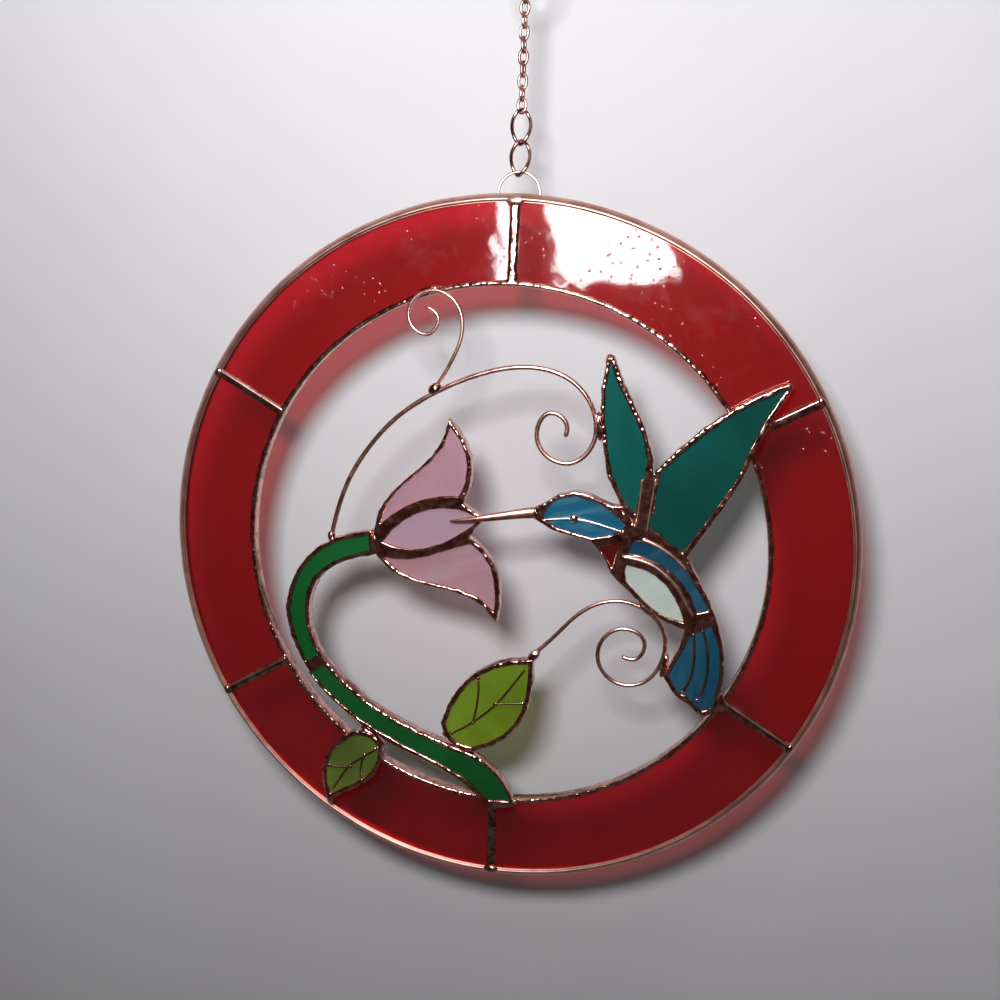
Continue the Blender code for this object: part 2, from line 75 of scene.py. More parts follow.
# ------------------------------------------------------------------ noise and meshes
# seeds of the lumps: the ring's solder 1 to 9, the came 11, drops at joints from 20, red panes from 41 and
# from 51, the motif's solder from 60, ends of veins from 91, ends of seams from 202, feet of the loop 310 and
# 311, and for a wire the number of its marks
def lumps(x, z, size, seed):
    """Smooth noise from -1 to 1 over the panel, with bumps about `size` millimetres apart."""
    rng = np.random.default_rng(seed)
    table = rng.uniform(-1, 1, (256, 256))
    u, v = np.asarray(x, float) / size + 1000.0, np.asarray(z, float) / size + 1000.0
    i, j = np.floor(u).astype(int), np.floor(v).astype(int)
    s, t = u - i, v - j
    s, t = s * s * (3 - 2 * s), t * t * (3 - 2 * t)
    a, b = table[i % 256, j % 256], table[(i + 1) % 256, j % 256]
    c, d = table[i % 256, (j + 1) % 256], table[(i + 1) % 256, (j + 1) % 256]
    return (a * (1 - s) + b * s) * (1 - t) + (c * (1 - s) + d * s) * t


def piece(name, verts, faces, mat, replaces=()):
    """A new visible piece, from points in metres. It rides on the one body."""
    mesh = bpy.data.meshes.new(name)
    mesh.from_pydata([tuple(v) for v in verts], [], [tuple(int(i) for i in f) for f in faces])
    work = bmesh.new()
    work.from_mesh(mesh)
    bmesh.ops.recalc_face_normals(work, faces=work.faces)
    work.to_mesh(mesh)
    work.free()
    mesh.shade_smooth()
    made = bpy.data.objects.new(name, mesh)
    bpy.context.scene.collection.objects.link(made)
    made.data.materials.append(mat)
    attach(made, "root")
    if replaces:
        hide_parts(*replaces)
    return made


DOMED_END = [(0.5, 0.87), (0.87, 0.5), (0.99, 0.14)]  # along the bar and across it, as shares of its radius


def tube_mesh(path, radii, sides=14, closed=False):
    """Points and faces of a round bar along a path in metres, with domed ends."""
    path = [Vector(p) for p in path]
    n = len(path)
    radii = [radii] * n if isinstance(radii, float) else list(radii)
    if not closed:
        for end, step in ((0, 1), (-1, -1)):
            tip, inner, r = path[end], path[end + step], radii[end]
            way = (tip - inner).normalized()
            spots = [tip + way * r * along for along, _ in DOMED_END]
            widths = [r * wide for _, wide in DOMED_END]
            if end == 0:
                path, radii = spots[::-1] + path, widths[::-1] + radii
            else:
                path, radii = path + spots, radii + widths
        n = len(path)
    verts, faces = [], []
    first = (path[1] - path[-1 if closed else 0]).normalized()
    up = Vector((0, 1, 0)) if abs(first.y) < 0.9 else Vector((1, 0, 0))
    for i, p in enumerate(path):
        ahead = path[(i + 1) % n] if closed or i + 1 < n else p
        behind = path[i - 1] if closed or i else p
        way = (ahead - behind).normalized()
        up = (up - way * up.dot(way)).normalized()
        across = way.cross(up)
        for k in range(sides):
            a = 2 * math.pi * k / sides
            verts.append(p + (up * math.cos(a) + across * math.sin(a)) * radii[i])
    for i in range(n if closed else n - 1):
        j = (i + 1) % n
        for k in range(sides):
            m = (k + 1) % sides
            faces.append((i * sides + k, i * sides + m, j * sides + m, j * sides + k))
    if not closed:
        faces.append(tuple(range(sides)))
        faces.append(tuple(range((n - 1) * sides, n * sides)))
    return verts, faces


def curve_through(marks, step):
    """Points about `step` apart on the smooth curve (a cubic spline) through three marks or more."""
    marks = np.array([tuple(m) for m in marks], float)
    gaps = np.linalg.norm(np.diff(marks, axis=0), axis=1)[:, None]
    slopes = np.diff(marks, axis=0) / gaps
    n = len(marks)
    system, known = np.zeros((n, n)), np.zeros(marks.shape)
    system[0, :2] = system[-1, -2:] = (1, -1)  # the ends keep the bend of what is next to them
    for i in range(1, n - 1):
        system[i, i - 1 : i + 2] = (gaps[i - 1, 0], 2 * (gaps[i - 1, 0] + gaps[i, 0]), gaps[i, 0])
        known[i] = 6 * (slopes[i] - slopes[i - 1])
    bends = np.linalg.solve(system, known)
    dense = []
    for i in range(n - 1):
        gap = gaps[i, 0]
        for t in np.linspace(0, gap, max(2, round(gap / step)), endpoint=False):
            u = gap - t
            curved = (bends[i] * (u**3 / gap - gap * u) + bends[i + 1] * (t**3 / gap - gap * t)) / 6
            dense.append(Vector(curved + (marks[i] * u + marks[i + 1] * t) / gap))
    dense.append(Vector(marks[-1]))
    return dense


def from_field(name, x_range, z_range, pitch, field, mat, home, replaces=()):
    """A double-sided body of solder over the region where the field is positive. field(x, z) gives, for
    arrays of points, how far inside the region each one is, and how thick the solder is there."""
    xs = np.arange(x_range[0], x_range[1] + pitch, pitch)
    zs = np.arange(z_range[0], z_range[1] + pitch, pitch)
    gx, gz = np.meshgrid(xs, zs, indexing="ij")
    inside = field(gx.ravel(), gz.ravel())[0].reshape(gx.shape)
    live = inside > 0
    cells = np.argwhere(live[:-1, :-1] | live[1:, :-1] | live[:-1, 1:] | live[1:, 1:])
    points, known, polygons, walls = [], {}, [], []
    corners = ((0, 0), (1, 0), (1, 1), (0, 1))

    def corner(i, j):
        key = (i, j)
        if key not in known:
            known[key] = len(points)
            points.append((xs[i], zs[j]))
        return known[key]

    def crossing(i, j, k, m):
        key = (i, j, k, m) if (i, j) < (k, m) else (k, m, i, j)
        if key not in known:
            a, b = inside[key[0], key[1]], inside[key[2], key[3]]
            t = min(0.9, max(0.1, a / (a - b)))
            known[key] = len(points)
            points.append((xs[key[0]] * (1 - t) + xs[key[2]] * t, zs[key[1]] * (1 - t) + zs[key[3]] * t))
        return known[key]

    for i, j in cells:
        loop = []
        for c in range(4):
            (di, dj), (ei, ej) = corners[c], corners[(c + 1) % 4]
            a, b = (i + di, j + dj), (i + ei, j + ej)
            if live[a]:
                loop.append((corner(*a), False))
            if live[a] != live[b]:
                loop.append((crossing(*a, *b), True))
        polygons.append([p for p, _ in loop])
        for (p, cut_p), (q, cut_q) in zip(loop, loop[1:] + loop[:1]):
            if cut_p and cut_q:
                walls.append((p, q))
    points = np.array(points)
    _, front, back = field(points[:, 0], points[:, 1])
    count = len(points)
    verts = [at(x, z, h, home) for (x, z), h in zip(points, front)]
    verts += [at(x, z, -h, home) for (x, z), h in zip(points, back)]
    faces = polygons + [[count + p for p in reversed(loop)] for loop in polygons]
    faces += [(q, p, count + p, count + q) for p, q in walls]
    return piece(name, verts, faces, mat, replaces)


# ------------------------------------------------------------------ outlines of the CAD pieces
def face_loops(node):
    """The closed outlines, in panel millimetres, of a flat CAD piece's front face, the largest first."""
    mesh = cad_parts[node].data
    where = np.array([v.co for v in mesh.vertices]) / MM
    level = where[:, 1].min()
    spots, index = {}, []
    for x, _, z in np.round(where, 3):
        index.append(spots.setdefault((x, z), len(spots)))
    marks = np.array(list(spots))
    edges = {}
    for face in mesh.polygons:
        ids = list(face.vertices)
        if max(where[i, 1] for i in ids) > level + 0.02:
            continue
        for a, b in zip(ids, ids[1:] + ids[:1]):
            a, b = index[a], index[b]
            if (b, a) in edges:
                del edges[b, a]
            else:
                edges[a, b] = True
    following = {}
    for a, b in edges:
        following.setdefault(a, []).append(b)
    loops = []
    while following:
        start = next(iter(following))
        loop, here = [], start
        while True:
            loop.append(here)
            choices = following[here]
            step = choices.pop()
            if not choices:
                del following[here]
            here = step
            if here == start:
                break
        loops.append(marks[loop] - (MOTIF_X, MOTIF_Z))
    return sorted(loops, key=lambda p: -np.ptp(p[:, 0]) * np.ptp(p[:, 1]))


def distance_to(loop, x, z, reach=4.0):
    """Distance from each point to a closed outline (no more than `reach`), and whether it is inside it."""
    away = np.full(x.shape, reach)
    odd = np.zeros(x.shape, bool)
    for (ax, az), (bx, bz) in zip(loop, np.roll(loop, -1, axis=0)):
        if az != bz:
            spans = (az > z) != (bz > z)
            odd ^= spans & (x < (bx - ax) * (z - az) / (bz - az) + ax)
        near = (x > min(ax, bx) - reach) & (x < max(ax, bx) + reach)
        near &= (z > min(az, bz) - reach) & (z < max(az, bz) + reach)
        if not near.any():
            continue
        px, pz = x[near], z[near]
        dx, dz = bx - ax, bz - az
        t = np.clip(((px - ax) * dx + (pz - az) * dz) / (dx * dx + dz * dz + 1e-12), 0, 1)
        away[near] = np.minimum(away[near], np.hypot(px - ax - t * dx, pz - az - t * dz))
    return away, odd


def dome(depth, width):
    """0 at an edge, rising like a quarter of a circle to 1 at `width` inside it."""
    d = np.clip(depth / width, 0, 1)
    return np.sqrt(1 - (1 - d) ** 2)


# ------------------------------------------------------------------ materials
class Look:
    """A Principled material under construction, with the few node patterns used here."""

    def __init__(self, name, **values):
        self.mat = bpy.data.materials.new(name)
        self.mat.use_nodes = True
        self.tree = self.mat.node_tree
        self.shader = self.tree.nodes["Principled BSDF"]
        for key, value in values.items():
            socket = self.shader.inputs[key.replace("_", " ").title().replace("Ior", "IOR")]
            socket.default_value = (*value, 1) if isinstance(value, tuple) else value

    def new(self, kind, **settings):
        made = self.tree.nodes.new(kind)
        for key, value in settings.items():
            setattr(made, key, value)
        return made

    def link(self, source, target):
        self.tree.links.new(source, target)

    def place(self, turn=0.0, stretch=(1, 1, 1), shift=(0, 0, 0)):
        """Coordinates fixed to the piece, in metres, turned about the panel's own normal."""
        spot, mapping = self.new("ShaderNodeTexCoord"), self.new("ShaderNodeMapping", vector_type="TEXTURE")
        mapping.inputs["Location"].default_value = shift
        mapping.inputs["Rotation"].default_value = (0, math.radians(turn), 0)
        mapping.inputs["Scale"].default_value = stretch
        self.link(spot.outputs["Object"], mapping.inputs["Vector"])
        return mapping.outputs["Vector"]

    def noise(self, where, scale, detail=3.0, rough=0.5, distortion=0.0):
        made = self.new("ShaderNodeTexNoise")
        made.inputs["Scale"].default_value = scale
        made.inputs["Detail"].default_value = detail
        made.inputs["Roughness"].default_value = rough
        made.inputs["Distortion"].default_value = distortion
        self.link(where, made.inputs["Vector"])
        return made.outputs["Fac"]

    def ramp(self, source, stops):
        made = self.new("ShaderNodeValToRGB")
        band = made.color_ramp
        while len(band.elements) < len(stops):
            band.elements.new(0.5)
        for mark, (spot, colour) in zip(band.elements, stops):
            mark.position = spot
            mark.color = (*colour, 1) if isinstance(colour, tuple) else (colour, colour, colour, 1)
        self.link(source, made.inputs["Fac"])
        return made.outputs["Color"]

    def mix(self, share, one, two, kind="MIX"):
        made = self.new("ShaderNodeMix", data_type="RGBA", blend_type=kind)
        for socket, value in ((made.inputs["Factor"], share), (made.inputs[6], one), (made.inputs[7], two)):
            if isinstance(value, tuple):
                socket.default_value = (*value, 1)
            elif isinstance(value, float):
                socket.default_value = value
            else:
                self.link(value, socket)
        return made.outputs[2]

    def colour(self, source):
        self.link(source, self.shader.inputs["Base Color"])

    def roughness(self, source):
        self.link(source, self.shader.inputs["Roughness"])

    def bump(self, source, depth_mm, strength=1.0, skin="Normal"):
        """Adds relief to the surface, or to its coat alone with skin="Coat Normal"."""
        made, socket = self.new("ShaderNodeBump"), self.shader.inputs[skin]
        made.inputs["Distance"].default_value = depth_mm * MM
        made.inputs["Strength"].default_value = strength
        self.link(source, made.inputs["Height"])
        if socket.is_linked:
            self.link(socket.links[0].from_socket, made.inputs["Normal"])
        self.link(made.outputs["Normal"], socket)

    def lamps_pass(self, tint):
        """Lets light from the lamps through in a colour, so the glass throws a coloured shadow."""
        path, mixer = self.new("ShaderNodeLightPath"), self.new("ShaderNodeMixShader")
        clear = self.new("ShaderNodeBsdfTransparent")
        clear.inputs["Color"].default_value = (*tint, 1)
        self.link(path.outputs["Is Shadow Ray"], mixer.inputs["Fac"])
        self.link(self.shader.outputs["BSDF"], mixer.inputs[1])
        self.link(clear.outputs["BSDF"], mixer.inputs[2])
        self.link(mixer.outputs["Shader"], self.tree.nodes["Material Output"].inputs["Surface"])


def lighter(colour, times):
    return tuple(min(1, c * times) for c in colour)


def copper_look(name, light, dark, rough, bump_mm):
    """Drawn copper: a warm pink metal, browner in patches, with fine drawing marks."""
    look = Look(name, metallic=1.0)
    where = look.place()
    patches = look.noise(where, 90, 4, 0.6, 0.6)
    fine = look.noise(where, 900, 2, 0.5)
    look.colour(look.ramp(patches, [(0.30, dark), (0.55, light), (0.80, lighter(light, 1.12))]))
    look.roughness(look.ramp(look.noise(where, 260, 3, 0.6), [(0.3, rough), (0.75, rough + 0.16)]))
    look.bump(fine, bump_mm, 0.6)
    return look.mat


def solder_look(name, light, dark, rough=0.0):
    """Solder under a copper patina: pink where it is polished, browner in patches, with a fine grain."""
    look = Look(name, metallic=1.0)
    where = look.place()
    patches = look.noise(where, 260, 4, 0.65, 0.8)
    look.colour(look.ramp(patches, [(0.36, dark), (0.56, light), (0.76, lighter(light, 1.15))]))
    look.roughness(look.ramp(look.noise(where, 420, 3, 0.6), [(0.3, 0.10 + rough), (0.75, 0.24 + rough)]))
    look.bump(look.noise(where, 820, 2, 0.5, 0.2), 0.075, 0.7)
    return look.mat


def clear_glass(name, tint, shadow):
    """Cathedral glass: one clear colour under a glossy skin, with clusters of seeds and faint smears."""
    look = Look(
        name, base_color=tint, transmission_weight=1.0, ior=1.5, coat_weight=1.0, coat_roughness=0.05,
        sheen_weight=0.024, sheen_roughness=1.0,
    )
    where = look.place()
    smears = look.noise(where, 90, 5, 0.75, 0.5)
    look.link(look.ramp(smears, [(0.52, 0.03), (0.74, 0.22)]), look.shader.inputs["Specular Tint"])
    look.roughness(look.ramp(look.noise(where, 48, 4, 0.6, 1.0), [(0.40, 0.36), (0.72, 0.44)]))
    apart, flat = look.new("ShaderNodeSeparateXYZ"), look.new("ShaderNodeCombineXYZ")
    look.link(where, apart.inputs["Vector"])
    look.link(apart.outputs["X"], flat.inputs["X"])
    look.link(apart.outputs["Z"], flat.inputs["Y"])
    seeds = look.new("ShaderNodeTexVoronoi", feature="F1", voronoi_dimensions="2D")
    seeds.inputs["Scale"].default_value = 270
    look.link(flat.outputs["Vector"], seeds.inputs["Vector"])
    dots = look.ramp(seeds.outputs["Distance"], [(0.04, 1.0), (0.11, 0.0)])
    patches = look.noise(look.place(shift=(0.1, 0, 0.2)), 42, 2, 0.5)
    clusters = look.ramp(patches, [(0.50, 0.0), (0.56, 1.0)])
    look.bump(look.noise(where, 330, 2, 0.5), 0.010, skin="Coat Normal")
    look.bump(look.mix(1.0, dots, clusters, "MULTIPLY"), 0.07, skin="Coat Normal")
    look.lamps_pass(tuple(math.sqrt(c) for c in shadow))
    return look.mat


def opal_glass(name, base, wisp, shade, turn, through, wisps, scale, seed):
    """Opalescent glass: milky, streaked with paler and darker wisps along one direction."""
    look = Look(
        name, transmission_weight=through, ior=1.5, specular_tint=(0.04, 0.04, 0.04), coat_weight=0.6,
        coat_roughness=0.04,
    )
    where = look.place(turn, (4.0, 4.0, 1.0), (seed, seed * 0.7, seed * 0.3))
    flow = look.noise(where, scale * 4, 4, 0.55, 1.4)
    cloud = look.noise(look.place(turn + 12, (2.0, 2.0, 1.0), (seed + 0.2, 0, seed)), scale, 2, 0.5, 0.8)
    colour = look.mix(look.ramp(cloud, [(0.32, 0.0), (0.72, 1.0)]), shade, base)
    colour = look.mix(look.ramp(flow, [(0.50, 0.0), (0.78, wisps)]), colour, wisp)
    look.colour(colour)
    look.roughness(look.ramp(look.noise(where, scale * 2, 2, 0.5), [(0.3, 0.30), (0.8, 0.42)]))
    look.bump(look.noise(look.place(), 95, 2, 0.5), 0.12, 0.3)
    look.link(look.shader.inputs["Normal"].links[0].from_socket, look.shader.inputs["Coat Normal"])
    dull = sum(base) / 3
    look.lamps_pass(tuple(math.sqrt(0.15 * (0.6 * c + 0.4 * dull)) for c in base))
    return look.mat


came_copper = copper_look("came copper", (0.76, 0.45, 0.37), (0.56, 0.28, 0.22), 0.30, 0.025)
wire_copper = copper_look("wire copper", (0.82, 0.51, 0.44), (0.60, 0.31, 0.25), 0.20, 0.02)
chain_copper = copper_look("chain copper", (0.68, 0.42, 0.37), (0.36, 0.18, 0.15), 0.18, 0.02)
link_copper = copper_look("link copper", (0.50, 0.31, 0.27), (0.24, 0.12, 0.10), 0.13, 0.02)
patina = solder_look("copper patina solder", (0.80, 0.49, 0.42), (0.34, 0.12, 0.09))
# a paler copy of the patina: its paleness is a painted highlight on the ridges and drops made of it
painted_highlight_patina = solder_look("patina with painted highlight", (0.88, 0.62, 0.55), (0.70, 0.42, 0.35), 0.14)
beak_copper = copper_look("beak copper", (0.64, 0.31, 0.25), (0.38, 0.15, 0.12), 0.26, 0.02)
dark_wire = copper_look("dark wire", (0.42, 0.20, 0.15), (0.16, 0.06, 0.045), 0.24, 0.02)
bright_metal = copper_look("tinned wire", (0.86, 0.76, 0.72), (0.60, 0.46, 0.42), 0.14, 0.015)
red_glass = clear_glass("red glass", (0.67, 0.011, 0.022), (0.48, 0.036, 0.040))

# ------------------------------------------------------------------ panes of the bird, flower and leaves
# for each pane: its label, the colour of the glass, of its pale wisps and of its darker clouds, and then the
# streaks' direction, the share of light let through, the wisps' strength, their scale and a seed
pane_looks = {
    "petal_upper": (
        "pink glass 1", (0.70, 0.45, 0.55), (0.80, 0.62, 0.70), (0.60, 0.31, 0.39),
        62, 0.30, 0.35, 20, 0.11,
    ),
    "petal_middle": (
        "pink glass 2", (0.70, 0.49, 0.58), (0.80, 0.64, 0.71), (0.62, 0.41, 0.50),
        8, 0.30, 0.4, 20, 0.27,
    ),
    "petal_lower": (
        "pink glass 3", (0.67, 0.41, 0.48), (0.77, 0.59, 0.66), (0.60, 0.30, 0.35),
        -4, 0.30, 0.6, 20, 0.43,
    ),
    "stem_glass_upper": (
        "stem green 1", (0.0185, 0.208, 0.050), (0.028, 0.290, 0.072), (0.010, 0.145, 0.032),
        70, 0.35, 0.4, 20, 0.5,
    ),
    "stem_glass_lower": (
        "stem green 2", (0.0185, 0.185, 0.046), (0.028, 0.260, 0.068), (0.010, 0.130, 0.030),
        -30, 0.35, 0.4, 20, 0.61,
    ),
    "leaf_large_glass": (
        "leaf lime 1", (0.370, 0.560, 0.040), (0.500, 0.680, 0.075), (0.210, 0.350, 0.028),
        48, 0.55, 0.5, 18, 0.72,
    ),
    "leaf_small_glass": (
        "leaf lime 2", (0.280, 0.390, 0.065), (0.400, 0.500, 0.110), (0.130, 0.220, 0.050),
        40, 0.5, 0.6, 24, 0.83,
    ),
    # the head's pale wisps are partly streaks in the glass and partly painted highlights, the reflections of
    # its ripples
    "bird_head": (
        "blue glass 1", (0.032, 0.245, 0.400), (0.240, 0.500, 0.640), (0.013, 0.150, 0.280),
        -12, 0.4, 0.7, 30, 0.94,
    ),
    "bird_back": (
        "blue glass 2", (0.036, 0.170, 0.285), (0.130, 0.310, 0.420), (0.010, 0.085, 0.160),
        -38, 0.45, 0.7, 26, 0.15,
    ),
    "bird_tail": (
        "blue glass 3", (0.030, 0.168, 0.280), (0.120, 0.310, 0.420), (0.012, 0.105, 0.200),
        -78, 0.45, 0.6, 24, 0.26,
    ),
    "bird_belly": (
        "white glass", (0.880, 0.920, 0.860), (0.940, 0.955, 0.935), (0.660, 0.775, 0.700),
        -35, 0.2, 0.5, 20, 0.37,
    ),
    "wing_left": (
        "teal glass 1", (0.0110, 0.205, 0.172), (0.015, 0.260, 0.216), (0.0098, 0.140, 0.120),
        82, 0.35, 0.5, 14, 0.48,
    ),
    "wing_right": (
        "teal glass 2", (0.0100, 0.165, 0.138), (0.013, 0.205, 0.172), (0.0092, 0.115, 0.098),
        55, 0.5, 0.5, 14, 0.59,
    ),
}
for node, (label, base, wisp, shade, turn, through, wisps, scale, seed) in pane_looks.items():
    glass = opal_glass(label, base, wisp, shade, turn, through, wisps, scale, seed)
    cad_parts[node].material_slots[0].material = glass
throat_glass = clear_glass("throat red", (0.45, 0.006, 0.009), (0.3, 0.02, 0.02))
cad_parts["bird_throat"].material_slots[0].material = throat_glass


# ------------------------------------------------------------------ the ring
DENT = 0.05


def turned(name, profile, mat, steps, replaces):
    """A closed profile of (radius, out) carried round the ring's middle, a hair dented, as bent came is."""
    n = len(profile)
    verts, faces = [], []
    for i in range(steps):
        a = 2 * math.pi * i / steps
        dent = DENT * float(lumps(a * RIM_R, 3.0, 9.0, 11)) - DENT
        for r, out in profile:
            verts.append(at((r + dent) * math.cos(a), (r + dent) * math.sin(a), out, "ring"))
        j = (i + 1) % steps
        faces += [(i * n + k, i * n + (k + 1) % n, j * n + (k + 1) % n, j * n + k) for k in range(n)]
    return piece(name, verts, faces, mat, replaces)


lip_in = RIM_R - CAME_FACE
channel = 1.75  # half the came's inside, which holds the glass
crest, CREST_R = RIM_R - 1.9, 0.5  # outside this narrow crest the face slopes away, inside it dips
front_half = [(RIM_R, RIM_HALF - 1.95), (RIM_R - 0.12, RIM_HALF - 1.62), (RIM_R - 0.62, RIM_HALF - 0.95)]
for turn in (48, 66, 84, 102, 120):
    a = math.radians(turn)
    front_half.append((crest + CREST_R * math.cos(a), RIM_HALF - CREST_R + CREST_R * math.sin(a)))
front_half += [(lip_in + 0.28, RIM_HALF - 0.62), (lip_in, RIM_HALF - 1.0), (lip_in, channel)]
front_half.append((RIM_R - 1.0, channel))
came_profile = front_half + [(r, -out) for r, out in reversed(front_half)]
turned("came", came_profile, came_copper, 300, ["rim_came"])

PANE_OUT, PANE_IN = RIM_R - 1.05, BEAD_IN_R + 0.7
SEAM_GAP = 0.5  # between a pane's straight edge and the middle of the seam


def ring_pane(number, start, end):
    """A red pane between two seams, with the slow ripples of rolled glass on both faces."""
    rows, across = int(end - start), 26
    verts, faces = [], []
    for face in (1, -1):
        for i in range(rows + 1):
            for k in range(across + 1):
                r = PANE_IN + (PANE_OUT - PANE_IN) * k / across
                trim = math.degrees(SEAM_GAP / r)
                a = math.radians(start + trim + (end - start - 2 * trim) * i / rows)
                x, z = r * math.cos(a), r * math.sin(a)
                slow, quick = float(lumps(x, z, 13.0, 40 + number)), float(lumps(x, z, 4.0, 50 + number))
                ripple = 0.035 * slow + 0.022 * quick
                verts.append(at(x, z, face * (GLASS_HALF + ripple), "ring"))
    wide, half = across + 1, (rows + 1) * (across + 1)
    for i in range(rows):
        for k in range(across):
            a, b, c, d = i * wide + k, i * wide + k + 1, (i + 1) * wide + k + 1, (i + 1) * wide + k
            faces += [(a, b, c, d), (half + d, half + c, half + b, half + a)]
    rim = list(range(wide)) + [i * wide + across for i in range(1, rows + 1)]
    rim += [rows * wide + k for k in range(across - 1, -1, -1)] + [i * wide for i in range(rows - 1, 0, -1)]
    faces += [(a, b, half + b, half + a) for a, b in zip(rim, rim[1:] + rim[:1])]
    made = piece(f"red_pane_{number}", verts, faces, red_glass, [f"ring_glass_{number}"])
    made.data.set_sharp_from_angle(angle=math.radians(50))
    made.visible_diffuse = False  # the wall takes the red light from the glass's shadow alone
    return made


ordered = sorted(SEAM_AT)
for number, (start, end) in enumerate(zip(ordered, ordered[1:] + [ordered[0] + 360]), 1):
    ring_pane(number, start, end)


# how the solder's face is shaped: its top and what a crown adds to it, its height where it meets the glass
# and the width over which it rises from there, the radius at an open edge, the height, size and margin of the
# broad wear, the height of the small beads near the edges and their reach, and how far it all sinks
Face = namedtuple("Face", "top crown low rise edge_r wear wear_size wear_in bead bead_reach sink")
RING_FACE = Face(BEAD_HALF - 0.1, 0.0, 1.6, 1.25, 0.8, 0.08, 2.2, 0.8, 0.15, 1.0, 0.05)
MOTIF_FACE = Face(SOLDER_HALF - 0.05, 0.3, 1.56, 1.2, 0.55, 0.09, 2.6, 0.9, 0.16, 1.1, 0.08)
BEAD_SIZE, BEAD_IN = 0.9, 0.4


def solder_height(x, z, open_side, glass_side, beaded_from, seed, face):
    """How far out the solder's face is, from how far inside its open edge and its edge on glass it is."""
    inside = np.minimum(open_side, glass_side)
    worn = face.wear * lumps(x, z, face.wear_size, seed) * dome(inside, face.wear_in)
    beads = lumps(x, z, BEAD_SIZE, seed + 4) * dome(inside, BEAD_IN)
    worn += face.bead * beads * np.exp(-((beaded_from / face.bead_reach) ** 2))
    on_glass = face.low + (face.top + face.crown - face.low) * dome(glass_side, face.rise)
    at_edge = face.top - face.edge_r + face.edge_r * dome(open_side, face.edge_r)
    return np.minimum(on_glass, at_edge) + worn - face.sink


def ring_field(x, z):
    """The solder of the ring: a bead round its inner edge, and a seam between each two panes."""
    r = np.hypot(x, z)
    uneven = 0.16 * lumps(x, z, 1.7, 1) + 0.12 * lumps(x, z, 4.0, 2)
    glass_side = BEAD_OUT_R + 0.1 + uneven - r
    fillet = 0.9  # where a seam and the bead meet
    for angle in SEAM_AT:
        a = math.radians(angle)
        along, side = x * math.cos(a) + z * math.sin(a), np.abs(z * math.cos(a) - x * math.sin(a))
        width = SEAM_FACE_HALF + 0.6 * uneven
        seam = np.minimum(width - side, RIM_R - 2.0 - along)
        seam = np.where(along > 0, seam, -9.0)
        blend = np.clip(0.5 + 0.5 * (seam - glass_side) / fillet, 0, 1)
        glass_side = glass_side * (1 - blend) + seam * blend + fillet * blend * (1 - blend)
    open_side = r - BEAD_IN_R + 0.05 * lumps(x, z, 2.2, 3)
    inside = np.minimum(open_side, glass_side)
    return inside, *(solder_height(x, z, open_side, glass_side, inside, seed, RING_FACE) for seed in (4, 5))


FINE = 0.28  # the pitch of the solder's grid
SPAN = (-115, 115)
from_field("ring_lead", SPAN, SPAN, FINE, ring_field, patina, "ring", ["ring_solder"])


# ------------------------------------------------------------------ solder of the bird, flower, stem, leaves
def lattice_field(loops, seed, spread):
    """Solder inside an outer outline, wider by `spread`, and a little over the edges of its windows."""
    outer, windows = loops[0], loops[1:]

    def field(x, z):
        away, within = distance_to(outer, x, z)
        rough_edge = 0.15 * lumps(x, z, 1.3, seed) + 0.10 * lumps(x, z, 3.1, seed + 1)
        edge = np.where(within, away, -away) + rough_edge + spread
        glass_side = np.full(x.shape, 4.0)
        for window in windows:
            away, within = distance_to(window, x, z)
            glass_side = np.minimum(glass_side, np.where(within, -away, away))
        glass_side = glass_side + 0.13 + 0.13 * lumps(x, z, 2.1, seed + 2)
        seeds = (seed + 3, seed + 4)
        heights = (solder_height(x, z, edge, glass_side, edge, more, MOTIF_FACE) for more in seeds)
        return np.minimum(edge, glass_side), *heights

    return field


spreads = {"flower": 0.0, "stem": 0.0, "leaf_large": 0.3, "leaf_small": 0.25, "bird": 0.0}
for number, (name, spread) in enumerate(spreads.items()):
    node = f"{name}_solder"
    loops = face_loops(node)
    lo, hi = loops[0].min(axis=0) - 1.5, loops[0].max(axis=0) + 1.5
    field, x_range, z_range = lattice_field(loops, 60 + 12 * number, spread), (lo[0], hi[0]), (lo[1], hi[1])
    from_field(f"{name}_lead", x_range, z_range, FINE, field, patina, "motif", [node])


# ------------------------------------------------------------------ wires
def bar(name, marks, radius, mat, replaces=(), step=0.7, sides=16, home="motif", uneven=0.04):
    """A round wire through a few (x, z, out) marks, a little thicker and thinner along its length."""
    path = curve_through(marks, step)
    wave = lumps(np.arange(len(path)) * step, 7.0, 5.0, len(marks))
    points = [at(p.x, p.y, p.z, home) for p in path]
    verts, faces = tube_mesh(points, [float(r) * MM for r in radius * (1 + uneven * wave)], sides)
    return piece(name, verts, faces, mat, replaces)


def flat_marks(marks, out=0.0):
    return [(x, z, out) for x, z in marks]


scrolls = {
    "scroll_main": (0.8, [
        (-57.4, 2.4), (-55.6, 10.0), (-51.4, 21.5), (-45.0, 32.0), (-35.6, 42.5), (-23.6, 50.9), (-8.0, 58.0),
        (8.0, 61.0), (21.0, 57.8), (28.9, 48.6), (29.3, 37.8), (22.4, 31.2), (14.4, 33.3), (11.2, 40.6),
        (15.2, 46.9), (20.0, 44.8), (20.6, 40.2),
    ]),
    "scroll_upper": (0.65, [
        (-22.2, 53.6), (-17.0, 62.5), (-14.0, 72.0), (-16.2, 80.2), (-24.0, 84.0), (-31.2, 79.4),
        (-30.4, 72.2), (-25.0, 70.2), (-21.9, 74.6), (-25.6, 78.6),
    ]),
    "scroll_lower": (0.7, [
        (14.2, -31.8), (20.0, -25.8), (28.8, -16.8), (39.0, -12.8), (48.6, -15.0), (54.6, -21.5),
        (54.8, -31.0), (49.0, -39.3), (40.5, -40.3), (34.3, -34.0), (35.2, -26.2), (42.4, -21.8),
        (48.8, -25.6), (47.2, -31.0), (42.4, -31.4),
    ]),
}
